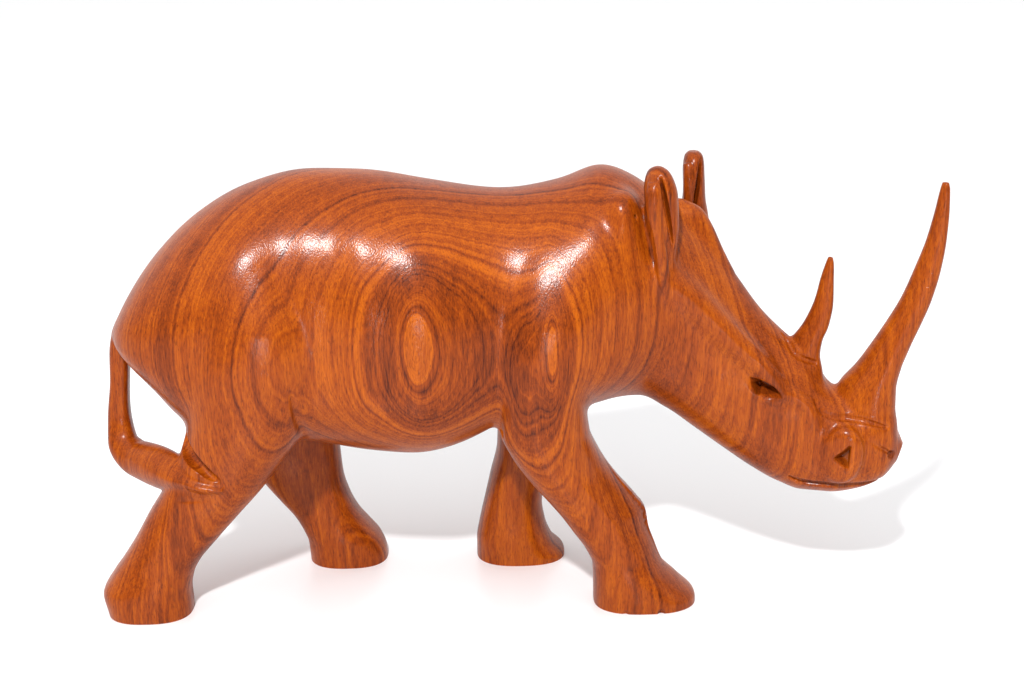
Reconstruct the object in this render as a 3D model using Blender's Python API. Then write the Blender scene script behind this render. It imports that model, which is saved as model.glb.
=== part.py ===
"""A carved wooden rhinoceros in mid stride, its head turned to its right.

The figure is one solid, drawn in small units: X forward, Y to the animal's left, Z up, floor at Z = 0.
Each form is a closed skin over a few profile lines, and the skins melt into one surface.
"""

import math

import bmesh
import bpy
import numpy as np
import openvdb

# From the rump's end to the front of the long horn, in metres and in drawing units.
LENGTH = 0.280
SPAN = 976.0
UNIT = LENGTH / SPAN

# The cell in which the surface is worked out, in drawing units, and the facets it is brought down to.
CELL = 2.5
FACETS = 9300

WOOD_COLOUR = (0.42, 0.085, 0.015, 1.0)
WOOD_ROUGHNESS = 0.35

# The back, from the tail's root over the rump, the saddle and the shoulder hump: x, z.
BACK_LINE = (
    (-483, 324), (-478, 336), (-462, 366), (-430, 411), (-380, 459), (-320, 493), (-250, 510), (-180, 507),
    (-110, 494), (-20, 482), (50, 493), (92, 508), (128, 495), (165, 461), (197, 388),
)
# The underside, from the buttocks over the belly to the chest: x, z.
BELLY_LINE = (
    (-483, 316), (-462, 291), (-430, 256), (-400, 219), (-360, 202), (-250, 190), (-205, 181), (-130, 173),
    (-80, 183), (-50, 197), (-25, 211), (60, 230), (110, 252), (150, 290), (197, 365),
)
# The height at which the flanks are widest: x, z.
FLANK_LINE = ((-483, 324), (-380, 312), (-110, 298), (10, 304), (95, 320), (197, 372))
# Half the width over haunch, waist, belly, waist, shoulder and neck: x, y.
BODY_HALF = (
    (-483, 10), (-476, 44), (-460, 74), (-430, 98), (-385, 119), (-325, 132), (-268, 121), (-246, 125),
    (-222, 124), (-184, 134), (-165, 133), (-125, 139), (-30, 120), (48, 128), (105, 112), (145, 88),
    (180, 58), (197, 12),
)
BODY_SQUARE = 2.25

# The head and neck: x and z of the upper line, x and z of the lower line, half width, squareness on top.
HEAD = (
    (30, 400, 20, 310, 30, 2.5),
    (60, 462, 44, 246, 88, 2.5),
    (95, 482, 78, 236, 95, 2.4),
    (135, 466, 108, 238, 90, 2.2),
    (182, 450, 142, 236, 82, 1.9),
    (216, 424, 174, 221, 74, 1.75),
    (246, 382, 207, 198, 66, 1.75),
    (273, 345, 240, 175, 61, 1.8),
    (300, 318, 270, 155, 57, 1.9),
    (328, 294, 300, 139, 53, 2.1),
    (352, 259, 328, 131, 51, 2.3),
    (380, 244, 358, 131, 48, 2.5),
    (406, 238, 390, 138, 42, 2.5),
    (425, 214, 417, 154, 31, 2.5),
    (436, 193, 430, 172, 10, 2.5),
)
HEAD_SQUARE = 2.5
# The head leaves the body's midline at this x, swings to the right over this run and keeps this slope.
TURN_START = 70.0
TURN_RUN = 120.0
TURN_SLOPE = 0.33

# Near means the animal's right side and far its left, in all that follows.
# The legs seen from the side: z, x of the back edge, x of the front edge.
HAUNCH = ((220, -396, -262), (260, -388, -246), (300, -378, -242), (345, -356, -250), (410, -312, -286))
SHOULDER = ((213, -33, 72), (250, -37, 68), (300, -34, 73), (350, -26, 78), (400, -12, 76), (430, 12, 58))
NEAR_HIND = (
    (-14, -495, -399), (6, -499, -399), (25, -503, -400), (46, -492, -396), (64, -479, -387),
    (90, -462, -365), (120, -445, -338), (150, -426, -311), (185, -408, -284),
) + HAUNCH
NEAR_FORE = (
    (-14, 77, 197), (6, 76, 197), (26, 76, 179), (46, 75, 159), (70, 65, 149), (90, 51, 142),
    (108, 38, 139), (125, 24, 127), (155, -1, 103), (185, -21, 84),
) + SHOULDER
FAR_HIND = (
    (-14, -267, -170), (6, -268, -171), (26, -270, -178), (42, -276, -190), (62, -287, -205),
    (83, -304, -215), (112, -326, -223), (147, -344, -226), (190, -372, -230),
) + HAUNCH
FAR_FORE = (
    (-14, -58, 52), (4, -58, 52), (20, -58, 38), (45, -54, 28), (72, -48, 24), (107, -40, 28),
    (147, -31, 38), (185, -30, 54),
) + SHOULDER
# How far a leg's inner and outer faces lie from the midline: z, inner, outer.
LEG_DEPTH = (
    (-14, 28, 118), (6, 26, 122), (28, 26, 120), (60, 29, 114), (120, 27, 112), (150, 22, 116),
    (185, 18, 122), (220, 14, 130), (260, 14, 137), (300, 18, 141), (345, 26, 136), (390, 40, 118),
    (430, 55, 88),
)
LEG_SQUARE = 2.5
# On the right front leg a ridge parts the side from the front: z, share of the width, the front's lean.
NO_RIDGE = ((-14, 0.7, 0.0), (430, 0.7, 0.0))
NEAR_FORE_RIDGE = (
    (-14, 0.75, 0.0), (14, 0.73, 0.12), (40, 0.76, 0.5), (60, 0.74, 0.65), (105, 0.6, 0.65), (156, 0.6, 0.4),
    (205, 0.65, 0.0), (430, 0.65, 0.0),
)
# How much of its own shift to the right each front leg has at a height, and that shift at the foot.
FORE_SHIFT = ((-14, 1.0), (60, 0.9), (130, 0.6), (200, 0.25), (260, 0.0), (430, 0.0))
NEAR_FORE_SHIFT = -12.0
FAR_FORE_SHIFT = -7.0

# The horns seen from the side: z, x of the back edge, x of the front edge, half width.
NOSE_HORN = (
    (180, 372, 420, 30), (215, 356, 428, 36), (240, 355, 425, 34), (262, 364, 425, 30), (285, 381, 429, 25),
    (310, 396, 437, 21), (368, 426, 458, 15), (403, 438.5, 466, 12.5), (438, 449.5, 470.5, 10),
    (473, 457, 472, 7.5), (496, 461, 471.5, 5), (505, 463, 470, 3),
)
BROW_HORN = (
    (250, 316, 342, 14), (275, 306, 344, 18), (295, 304, 341, 18), (312, 310, 343, 16),
    (331, 321.5, 349.5, 13), (360, 333, 353.5, 10), (388, 339, 353, 7), (404, 343.5, 352.5, 5),
    (412, 346, 351, 2.6),
)
# The ears: z, x and y of the middle, half the length, half the width, turn in radians.
NEAR_EAR = (
    (340, 158, -58, 9, 12, 0.0), (380, 159, -70, 15, 17, 0.1), (420, 159, -76, 18, 21, 0.2),
    (460, 155, -78, 19, 23, 0.25), (490, 152, -78, 18, 23, 0.25), (508, 150, -78, 15, 20, 0.25),
    (518, 149, -78, 10, 14, 0.25), (522, 149, -78, 4, 6, 0.25),
)
FAR_EAR = (
    (390, 204, 30, 21, 22, 0.0), (430, 205, 38, 19, 23, 0.0), (465, 206, 41, 13, 22, 0.0),
    (496, 205, 42, 12.5, 20, 0.0), (510, 205, 42, 10.5, 15, 0.0), (515, 205, 42, 6, 8, 0.0),
)
EAR_SQUARE = 2.2
# The rolled back edge of each ear: x, y, z and radius.
NEAR_EAR_ROLL = (
    (143, -92, 507, 8), (142, -96, 492, 9.5), (143, -97, 470, 9.5), (146, -97, 448, 8.5), (150, -97, 425, 8),
    (154, -94, 395, 7.5), (159, -90, 365, 6.5), (164, -86, 340, 5),
)
FAR_EAR_ROLL = ((197, 30, 503, 6), (198, 26, 485, 7), (198, 25, 460, 7), (200, 22, 435, 6), (203, 18, 415, 5))
# The slit that hollows each ear: its middle, its half sizes and its lean in degrees.
NEAR_EAR_SLIT = ((155, -104, 480), (2.8, 18, 56), (0, 5, 6))
FAR_EAR_SLIT = ((208, 18, 480), (2.6, 15, 48), (0, 8, 4))
# Where the top of the right ear's roll is pared off: a point of the cut, its heading and its half size.
EAR_PARING = ((140, -98, 508), (-0.5, -0.45, 0.74), 16)
# The tail bends to the right and lies on the right hind leg: x, y, z, half thick, half wide, square.
TAIL = (
    (-440, 0, 352, 12, 20, 3), (-466, 0, 328, 14, 22, 3), (-476, -1, 300, 12, 20, 3.5),
    (-479, -2, 262, 11, 17, 3.5), (-482, -4, 222, 13, 17, 3.2), (-479, -12, 190, 17, 18, 2.8),
    (-458, -29, 172, 22, 21, 2.2), (-427, -60, 171, 26, 23, 1.7), (-396, -92, 170, 22, 21, 1.4),
    (-372, -108, 166, 13, 17, 1.3), (-350, -114, 164, 5, 10, 1.3),
)

# What is carved on each side of the head: place along it, distance from its middle plane, height.
EYE = (288.0, 54.0, 266.0)
EYE_SLANT = -32.0
EYE_HALF_LENGTH = 26.5
EYE_RISE = 8.0
EYE_DROP = 13.0
EYE_FULLNESS = 2.2
# The lids are fuller towards the front, the upper one more than the lower.
EYE_SWING = (0.35, 0.1)
EYE_DEPTH = 9.0
# Where the eye and the nostril are deepest, from their middles.
EYE_DEEPEST = (4, 6)
NOSTRIL_DEEPEST = (6, 0)
# How far a carved hollow draws in to that place, from 1 for upright walls to 0 for a point.
TAPER = 0.3
# The pupil is a notch in the eye's sloping floor: corners from the eye's middle, and depth.
PUPIL = ((-15, 7), (1, 9), (-7, -12))
PUPIL_START = 2.0
PUPIL_DEPTH = 15.0
NOSTRIL = (374.0, 41.0, 189.0)
NOSTRIL_RADII = (24.0, 36.0, 14.0)
NOSTRIL_TURN = (84.0, 8.0, -6.0)
NOSTRIL_SQUARE = 5.0
NOSTRIL_CUT = ((13, 19), (-14, -3), (8, -20))
NOSTRIL_DEPTH = 13.0
# Ropes of clay and one cut, each with its radius as a fourth number.
BROW = (
    (166, 70, 402, 8), (185, 68, 388, 11), (207, 63, 369, 13), (232, 58, 343, 13), (256, 55, 318, 12),
    (276, 53, 300, 10), (290, 53, 287, 8), (300, 52, 273, 6), (308, 51, 258, 4),
)
CHEEK = ((316, 43, 260, 4), (326, 45, 252, 6), (336, 44, 242, 7), (340, 45, 228, 6), (339, 45, 214, 4))
MOUTH_SIDE = (
    (316, 42, 157, 1.2), (326, 42, 153.5, 2.2), (340, 41, 150.5, 2.6), (358, 40, 149.5, 2.6),
    (376, 38, 149, 2.6), (392, 33, 149, 2.4), (405, 25, 151, 2.2), (414, 13, 154, 2.0),
)
# The fold at the shoulder hump's front end, behind the ears: middle, half sizes, lean in degrees.
SHOULDER_FOLD = ((112, 60, 432), (25, 35, 60), (0, -6, 0))
FOLD_SQUARE = 3.0
# The deep gap between that fold and the ear on the right: a rope that is cut away.
EAR_GAP = (
    (129, -92, 486, 1), (132, -96, 468, 3), (136, -100, 445, 4.5), (139, -102, 420, 4.5),
    (142, -103, 398, 3.5), (146, -103, 375, 1.5),
)
# The creases where the belly runs into the right legs, also cut away.
FORE_CREASE = ((-35, -92, 214, 6), (-36, -110, 240, 4.5), (-36, -120, 262, 3), (-35, -128, 290, 1))
HIND_CREASE = ((-250, -85, 205, 6), (-259, -106, 230, 4.5), (-265, -122, 255, 3), (-268, -133, 284, 1))

# How far two forms melt into each other where they meet.
MELT_NECK = 34.0
MELT_LEG = 14.0
MELT_FOLD = 12.0
MELT_BROW = 22.0
MELT_SMALL = 8.0
MELT_TAIL = 6.0
MELT_EDGE = 1.5

# Points round a large form and round a small one, and sections along a large form.
WIDE_ROUND = 144
ROUND = 48
SECTIONS = 240

# The block that holds the figure, in drawing units.
LOW = (-530, -185, -24)
HIGH = (500, 185, 545)
# Distances are kept true this far from a surface, and this far beyond where two forms melt together.
BAND = 44.0
MARGIN = 12.0
HAIR = 0.01


def smooth(stops, at):
    """Values at the places given by `at`, on the smooth line through (place, value) stops."""
    place, value = np.array(stops, float).T
    run = np.diff(place)
    rise = np.diff(value) / run
    slope = np.zeros_like(value)
    slope[0], slope[-1] = rise[0], rise[-1]
    onward = rise[:-1] * rise[1:] > 0
    first = 2 * run[1:] + run[:-1]
    last = run[1:] + 2 * run[:-1]
    with np.errstate(divide="ignore", invalid="ignore"):
        mean = (first + last) / (first / rise[:-1] + last / rise[1:])
    slope[1:-1] = np.where(onward, mean, 0.0)
    i = np.clip(np.searchsorted(place, at, side="right") - 1, 0, len(run) - 1)
    t = (at - place[i]) / run[i]
    before = value[i] * (1 + 2 * t) * (1 - t) ** 2
    after = value[i + 1] * (3 - 2 * t) * t**2
    return before + after + run[i] * t * (1 - t) * (slope[i] * (1 - t) - slope[i + 1] * t)


def stations(rows, steps=6):
    """The rows with smooth ones between them."""
    rows = np.array(rows, float)
    at = np.linspace(0, len(rows) - 1, steps * (len(rows) - 1) + 1)
    count = np.arange(len(rows))
    return np.stack([smooth(np.stack([count, column], 1), at) for column in rows.T], 1)


def head_y(x):
    """The middle line of the head and neck as seen from above."""
    past = np.asarray(x, float) - TURN_START
    swing = np.clip(past, 0, TURN_RUN)
    return -TURN_SLOPE * (swing * swing / (2 * TURN_RUN) + np.maximum(past - TURN_RUN, 0))


def head_slope(x):
    return (head_y(x + 1) - head_y(x - 1)) / 2


def ring(count, square=2.0):
    """Cosines and sines round an oval that gets squarer with a higher exponent."""
    a = np.linspace(0, 2 * math.pi, count, endpoint=False)
    c, s = np.cos(a), np.sin(a)
    return np.sign(c) * np.abs(c) ** (2 / square), np.sign(s) * np.abs(s) ** (2 / square)


def skin(rings):
    """A closed skin over rings of points: its points, its quads and the triangles of its two ends."""
    rings = np.asarray(rings, float)
    n, m, _ = rings.shape
    points = np.vstack([rings.reshape(-1, 3), rings[0].mean(0), rings[-1].mean(0)])
    i, j = np.meshgrid(np.arange(n - 1), np.arange(m), indexing="ij")
    k = (j + 1) % m
    quads = np.stack([i * m + j, i * m + k, (i + 1) * m + k, (i + 1) * m + j], -1).reshape(-1, 4)
    j = np.arange(m)
    k = (j + 1) % m
    first = np.stack([np.full(m, n * m), k, j], -1)
    last = np.stack([np.full(m, n * m + 1), (n - 1) * m + j, (n - 1) * m + k], -1)
    return points, quads, np.vstack([first, last])


def evened(values, times=16):
    """The values without sudden bends, their two ends kept."""
    values = values.copy()
    for _ in range(times):
        values[1:-1] = (values[:-2] + 2 * values[1:-1] + values[2:]) / 4
    return values


def body():
    c, s = ring(WIDE_ROUND, BODY_SQUARE)
    start, end = BACK_LINE[0][0], BACK_LINE[-1][0]
    at = (start + end) / 2 - (end - start) / 2 * np.cos(np.linspace(0, math.pi, SECTIONS))
    lines = [evened(smooth(line, at)) for line in (BACK_LINE, BELLY_LINE, FLANK_LINE, BODY_HALF)]
    rings = []
    for x, top, bottom, flank, half in zip(at, *lines):
        z = flank + np.where(s > 0, top - flank, flank - bottom) * s
        rings.append(np.stack([np.full_like(c, x), half * c, z], -1))
    return skin(rings)


def head():
    below = ring(WIDE_ROUND, HEAD_SQUARE)
    rings = []
    for x_up, z_up, x_low, z_low, half, square in stations(HEAD, 12):
        above = ring(WIDE_ROUND, square)
        c, s = np.where(above[1] > 0, above, below)
        upper = np.array([x_up, head_y(x_up), z_up])
        lower = np.array([x_low, head_y(x_low), z_low])
        middle = (upper + lower) / 2
        slope = head_slope(middle[0])
        side = np.array([-slope, 1, 0]) / math.hypot(slope, 1)
        rings.append(middle + np.outer(s, (upper - lower) / 2) + np.outer(c, side * half))
    return skin(rings)


def leg(rows, side, shift=0.0, ridge=NO_RIDGE):
    """A leg on the left (side 1) or right (side -1), its foot shifted along Y, its front leaning inward."""
    c, s = ring(WIDE_ROUND, LEG_SQUARE)
    z, back, front = np.array(rows, float).T
    height, inner, outer = np.array(LEG_DEPTH, float).T
    place, share, lean = np.array(ridge, float).T
    at = np.linspace(z[0], z[-1], SECTIONS)
    edges = [smooth(np.stack([z, edge], 1), at) for edge in (back, front)]
    faces = [smooth(np.stack([height, face], 1), at) for face in (inner, outer)]
    slants = [smooth(np.stack([place, slant], 1), at) for slant in (share, lean)]
    rings = []
    for up, x0, x1, y0, y1, k, a, away in zip(at, *edges, *faces, *slants, shift * smooth(FORE_SHIFT, at)):
        x = (x0 + x1) / 2 + (x1 - x0) / 2 * c
        inward = a * np.maximum(x - x0 - k * (x1 - x0), 0) * (s > 0)
        y = side * ((y0 + y1) / 2 + (y1 - y0) / 2 * s - inward) + away
        rings.append(np.stack([x, y, np.full_like(c, up)], -1))
    return skin(rings)


def horn(rows):
    c, s = ring(ROUND)
    rings = []
    for z, back, front, half in stations(rows):
        middle = (back + front) / 2
        x = middle + (front - back) / 2 * c
        y = head_y(middle) + head_slope(middle) * (x - middle) + half * s
        rings.append(np.stack([x, y, np.full_like(c, z)], -1))
    return skin(rings)


def ear(rows):
    c, s = ring(ROUND, EAR_SQUARE)
    rings = []
    for z, x0, y0, a, b, turn in stations(rows):
        x = x0 + a * c * math.cos(turn) - b * s * math.sin(turn)
        y = y0 + a * c * math.sin(turn) + b * s * math.cos(turn)
        rings.append(np.stack([x, y, np.full_like(c, z)], -1))
    return skin(rings)


def headings(path):
    along = np.gradient(path, axis=0)
    return along / np.linalg.norm(along, axis=1)[:, None]


def tail():
    rows = stations(TAIL, 10)
    rings = []
    for row, t in zip(rows, headings(rows[:, :3])):
        c, s = ring(ROUND, row[5])
        wide = np.array([0.0, 1.0, 0.0]) - t[1] * t
        wide /= np.linalg.norm(wide)
        rings.append(row[:3] + row[3] * np.outer(c, np.cross(t, wide)) + row[4] * np.outer(s, wide))
    return skin(rings)


def rope(rows):
    """A round rope through rows of x, y, z and radius."""
    rows = stations(rows)
    c, s = ring(ROUND)
    rings = []
    for row, t in zip(rows, headings(rows[:, :3])):
        one = np.cross(t, (0.0, 0.0, 1.0))
        one /= np.linalg.norm(one)
        rings.append(row[:3] + row[3] * (np.outer(c, one) + np.outer(s, np.cross(t, one))))
    return skin(rings)


def rotation(turn):
    """The matrix of turns about X, then Y, then Z, in degrees."""
    (ca, cb, cg), (sa, sb, sg) = np.cos(np.radians(turn)), np.sin(np.radians(turn))
    about_x = np.array([[1, 0, 0], [0, ca, -sa], [0, sa, ca]])
    about_y = np.array([[cb, 0, sb], [0, 1, 0], [-sb, 0, cb]])
    about_z = np.array([[cg, -sg, 0], [sg, cg, 0], [0, 0, 1]])
    return about_z @ about_y @ about_x


def pebble(center, radii, turn=(0, 0, 0), square=2.0):
    """An ellipsoid, or with a higher exponent a drum with soft rims, its flat ends across its own Z."""
    c, s = ring(ROUND)
    matrix = rotation(turn)
    rings = []
    for a in np.linspace(-math.pi / 2, math.pi / 2, ROUND // 2 + 1)[1:-1]:
        wide = math.cos(a) ** (2 / square)
        high = math.copysign(abs(math.sin(a)) ** (2 / square), a)
        flat = np.stack([c * wide, s * wide, np.full_like(c, high)], -1)
        rings.append((flat * radii) @ matrix.T + center)
    return skin(rings)


def paring(point, heading, half):
    """A block whose lower face passes through a point, to cut a flat face that looks along the heading."""
    up = np.array(heading, float) / np.linalg.norm(heading)
    one = np.cross(up, (0.0, 0.0, 1.0))
    one /= np.linalg.norm(one)
    two = np.cross(up, one)
    square = [half * (a * one + b * two) for a, b in ((1, -1), (1, 1), (-1, 1), (-1, -1))]
    return skin([[point + corner + height * up for corner in square] for height in (0.0, half)])


def plug(corners, outer, inner, aim):
    """A block over (along, up) corners, from one distance out to another, drawn in towards an aim."""
    corners = np.array(corners, float)
    rings = []
    for out, size in ((outer, 1.0), (inner, TAPER)):
        flat = aim + (corners - aim) * size
        rings.append(np.stack([flat[:, 0], np.full(len(flat), out), flat[:, 1]], -1))
    return skin(rings)


def on_head(shape, side=1):
    """The shape carried from the straight head (along, out to one side, up) onto the turned one."""
    points, quads, triangles = shape
    along, out, up = points.T
    slope = head_slope(along)
    length = np.hypot(slope, 1)
    x = along - side * out * slope / length
    y = head_y(along) + side * out / length
    if side < 0:
        quads, triangles = quads[:, ::-1], triangles[:, ::-1]
    return np.stack([x, y, up], 1), quads, triangles


def almond(count=16):
    """The eye's outline as (along, up) corners."""
    t = np.linspace(-1, 1, count)
    lid = 1 - np.abs(t) ** EYE_FULLNESS
    upper = np.stack([t * EYE_HALF_LENGTH, EYE_RISE * lid * (1 + EYE_SWING[0] * t)], 1)
    lower = np.stack([-t * EYE_HALF_LENGTH, -EYE_DROP * lid * (1 + EYE_SWING[1] * t)], 1)[1:-1]
    a = math.radians(EYE_SLANT)
    turn = np.array([[math.cos(a), math.sin(a)], [-math.sin(a), math.cos(a)]])
    return np.vstack([upper, lower]) @ turn + (EYE[0], EYE[2])


def smooth_min(a, b, melt):
    if melt <= 0:
        return np.minimum(a, b)
    near = np.maximum(melt - np.abs(a - b), 0) / melt
    return np.minimum(a, b) - near * near * melt * 0.25


class Clay:
    """A block of distances to the figure's surface, negative inside it."""

    def __init__(self, cell):
        self.cell = cell
        self.low = np.floor(np.array(LOW) / cell).astype(int)
        self.high = np.ceil(np.array(HIGH) / cell).astype(int)
        self.field = np.full(tuple(self.high - self.low), BAND, np.float32)
        self.transform = openvdb.createLinearTransform(voxelSize=cell)

    def distance(self, shape, reach):
        """Distances to a shape, and the part of the block that they fill."""
        points, quads, triangles = shape
        low = np.maximum(np.floor((points.min(0) - reach) / self.cell).astype(int), self.low)
        high = np.minimum(np.ceil((points.max(0) + reach) / self.cell).astype(int) + 1, self.high)
        grid = openvdb.FloatGrid.createLevelSetFromPolygons(
            np.ascontiguousarray(points, np.float32),
            triangles=np.ascontiguousarray(triangles, np.uint32),
            quads=np.ascontiguousarray(quads, np.uint32),
            transform=self.transform,
            halfWidth=reach / self.cell,
        )
        values = np.empty(tuple(high - low), np.float32)
        grid.copyToArray(values, ijk=tuple(int(v) for v in low))
        return values, tuple(slice(a, b) for a, b in zip(low - self.low, high - self.low))

    def add(self, shape, melt=0.0):
        reach = min(BAND, melt + MARGIN)
        values, where = self.distance(shape, reach)
        old = self.field[where]
        self.field[where] = np.where(values < reach - HAIR, smooth_min(old, values, melt), old)

    def cut(self, shape, melt=0.0):
        reach = min(BAND, melt + MARGIN)
        values, where = self.distance(shape, reach)
        old = self.field[where]
        self.field[where] = np.where(values < reach - HAIR, -smooth_min(-old, values, melt), old)

    def surface(self):
        """Points and quads of the surface."""
        grid = openvdb.FloatGrid(BAND)
        grid.transform = self.transform
        grid.copyFromArray(self.field, ijk=tuple(int(v) for v in self.low))
        return grid.convertToQuads(0.0)


def carve(clay, side, corners, start, depth, aim):
    """Cuts a hollow into the side of the head."""
    clay.cut(on_head(plug(corners, start, start - depth, aim), side), MELT_EDGE)


def carve_face(clay, side):
    clay.add(on_head(rope(BROW), side), MELT_BROW)
    clay.add(on_head(rope(CHEEK), side), MELT_SMALL)
    clay.add(on_head(pebble(NOSTRIL, NOSTRIL_RADII, NOSTRIL_TURN, NOSTRIL_SQUARE), side), MELT_EDGE)
    along, out, up = EYE
    deepest = (along + EYE_DEEPEST[0], up + EYE_DEEPEST[1])
    carve(clay, side, almond(), out + MARGIN, MARGIN + EYE_DEPTH, deepest)
    notch = np.array([(along + a, up + b) for a, b in PUPIL])
    carve(clay, side, notch, out + PUPIL_START, PUPIL_START + PUPIL_DEPTH, notch.mean(0))
    along, out, up = NOSTRIL
    face = out + NOSTRIL_RADII[2]
    notch = np.array([(along + a, up + b) for a, b in NOSTRIL_CUT])
    deepest = (along + NOSTRIL_DEEPEST[0], up + NOSTRIL_DEEPEST[1])
    carve(clay, side, notch, face + MARGIN, MARGIN + NOSTRIL_DEPTH, deepest)


def figure(cell):
    clay = Clay(cell)
    clay.add(body(), MELT_NECK)
    clay.add(head(), MELT_NECK)
    clay.add(leg(NEAR_HIND, -1), MELT_LEG)
    clay.add(leg(NEAR_FORE, -1, NEAR_FORE_SHIFT, NEAR_FORE_RIDGE), MELT_LEG)
    clay.add(leg(FAR_HIND, 1), MELT_LEG)
    clay.add(leg(FAR_FORE, 1, FAR_FORE_SHIFT), MELT_LEG)
    for side in (-1, 1):
        (x, y, z), radii, lean = SHOULDER_FOLD
        clay.add(pebble((x, side * y, z), radii, lean, FOLD_SQUARE), MELT_FOLD)
        carve_face(clay, side)
    other = [(along, -out, up, radius) for along, out, up, radius in reversed(MOUTH_SIDE)]
    clay.cut(on_head(rope(MOUTH_SIDE + tuple(other))), MELT_EDGE)
    clay.add(ear(NEAR_EAR), MELT_SMALL)
    clay.add(ear(FAR_EAR), MELT_SMALL)
    clay.add(rope(NEAR_EAR_ROLL), MELT_EDGE)
    clay.add(rope(FAR_EAR_ROLL), MELT_EDGE)
    clay.cut(pebble(*NEAR_EAR_SLIT), MELT_EDGE)
    clay.cut(pebble(*FAR_EAR_SLIT), MELT_EDGE)
    clay.cut(paring(*EAR_PARING), MELT_EDGE)
    for groove in (EAR_GAP, FORE_CREASE, HIND_CREASE):
        clay.cut(rope(groove), MELT_TAIL)
    clay.add(horn(NOSE_HORN), MELT_SMALL)
    clay.add(horn(BROW_HORN), MELT_SMALL)
    clay.add(tail(), MELT_TAIL)
    return clay.surface()


def wood():
    material = bpy.data.materials.new("Polished wood")
    material.use_nodes = True
    shader = material.node_tree.nodes["Principled BSDF"]
    shader.inputs["Base Color"].default_value = WOOD_COLOUR
    shader.inputs["Roughness"].default_value = WOOD_ROUGHNESS
    return material


def facet(mesh, count):
    """The mesh brought down to about this many triangles."""
    rough = bpy.data.objects.new("rough", mesh)
    bpy.context.scene.collection.objects.link(rough)
    fewer = rough.modifiers.new("fewer", "DECIMATE")
    fewer.ratio = count / (2 * len(mesh.polygons))
    fewer.use_collapse_triangulate = True
    graph = bpy.context.evaluated_depsgraph_get()
    result = bpy.data.meshes.new_from_object(rough.evaluated_get(graph))
    bpy.data.objects.remove(rough)
    return result


def flatten_soles(mesh):
    """Cuts the feet off flat at the floor and closes the four soles."""
    shape = bmesh.new()
    shape.from_mesh(mesh)
    everything = shape.verts[:] + shape.edges[:] + shape.faces[:]
    cut = bmesh.ops.bisect_plane(
        shape, geom=everything, dist=1e-6, plane_co=(0, 0, 0), plane_no=(0, 0, 1), clear_inner=True
    )
    rim = [part for part in cut["geom_cut"] if isinstance(part, bmesh.types.BMEdge)]
    soles = bmesh.ops.edgeloop_fill(shape, edges=rim)["faces"]
    bmesh.ops.triangulate(shape, faces=soles)
    bmesh.ops.recalc_face_normals(shape, faces=shape.faces[:])
    shape.to_mesh(mesh)
    shape.free()


def build():
    for old in list(bpy.data.objects):
        bpy.data.objects.remove(old)
    points, quads = figure(CELL)
    mesh = bpy.data.meshes.new("surface")
    mesh.from_pydata((points * UNIT).tolist(), [], quads.tolist())
    mesh.update()
    mesh = facet(mesh, FACETS)
    flatten_soles(mesh)
    corners = np.array([vertex.co for vertex in mesh.vertices])
    middle = (corners.min(0) + corners.max(0)) / 2
    for vertex in mesh.vertices:
        vertex.co.x -= middle[0]
        vertex.co.y -= middle[1]
    mesh.name = "rhinoceros"
    mesh.materials.clear()
    mesh.materials.append(wood())
    bpy.context.scene.collection.objects.link(bpy.data.objects.new("rhinoceros", mesh))


build()
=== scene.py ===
"""The carved rhinoceros as a finely shaped piece of polished wood on a pale floor.

The figure is drawn in small units, as the frame's solid is: X forward, Y to the animal's left, Z up.
"""

import math

import bmesh
import bpy
import numpy as np
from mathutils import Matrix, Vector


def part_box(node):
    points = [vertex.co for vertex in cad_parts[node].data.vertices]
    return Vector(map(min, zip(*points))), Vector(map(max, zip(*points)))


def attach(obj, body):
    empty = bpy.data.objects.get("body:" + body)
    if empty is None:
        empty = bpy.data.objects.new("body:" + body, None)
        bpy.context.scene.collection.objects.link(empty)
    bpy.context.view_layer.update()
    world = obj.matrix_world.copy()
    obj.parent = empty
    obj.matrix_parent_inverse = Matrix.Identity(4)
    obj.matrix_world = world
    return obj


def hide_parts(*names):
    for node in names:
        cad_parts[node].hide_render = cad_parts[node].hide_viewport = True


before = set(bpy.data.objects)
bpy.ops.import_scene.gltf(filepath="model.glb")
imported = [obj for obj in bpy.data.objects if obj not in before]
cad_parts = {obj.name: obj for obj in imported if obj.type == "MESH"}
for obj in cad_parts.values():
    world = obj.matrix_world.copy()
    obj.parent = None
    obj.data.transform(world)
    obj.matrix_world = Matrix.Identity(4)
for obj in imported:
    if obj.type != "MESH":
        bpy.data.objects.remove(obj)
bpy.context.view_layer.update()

import openvdb
from mathutils import Matrix

# From the back of the right hind foot to the front of the long horn, in metres and in drawing units.
LENGTH = 0.280
SPAN = 976.0
UNIT = LENGTH / SPAN

# The cell in which the surface is worked out, in drawing units, and about how many triangles are kept.
CELL = 1.5
FACETS = 190000

# The back, from the tail's root over the rump, the saddle and the shoulder hump: x, z.
BACK_LINE = (
    (-483, 324), (-478, 336), (-462, 366), (-430, 411), (-380, 459), (-320, 493), (-250, 510), (-180, 507),
    (-110, 494), (-20, 482), (50, 493), (92, 508), (128, 495), (165, 461), (197, 388),
)
# The underside, from the buttocks over the belly to the chest: x, z.
BELLY_LINE = (
    (-483, 316), (-462, 291), (-430, 256), (-400, 219), (-360, 202), (-250, 190), (-205, 181), (-130, 173),
    (-80, 183), (-50, 197), (-25, 211), (60, 230), (110, 252), (150, 290), (197, 365),
)
# The height at which the flanks are widest: x, z.
FLANK_LINE = ((-483, 324), (-380, 312), (-110, 298), (10, 304), (95, 320), (197, 372))
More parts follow.
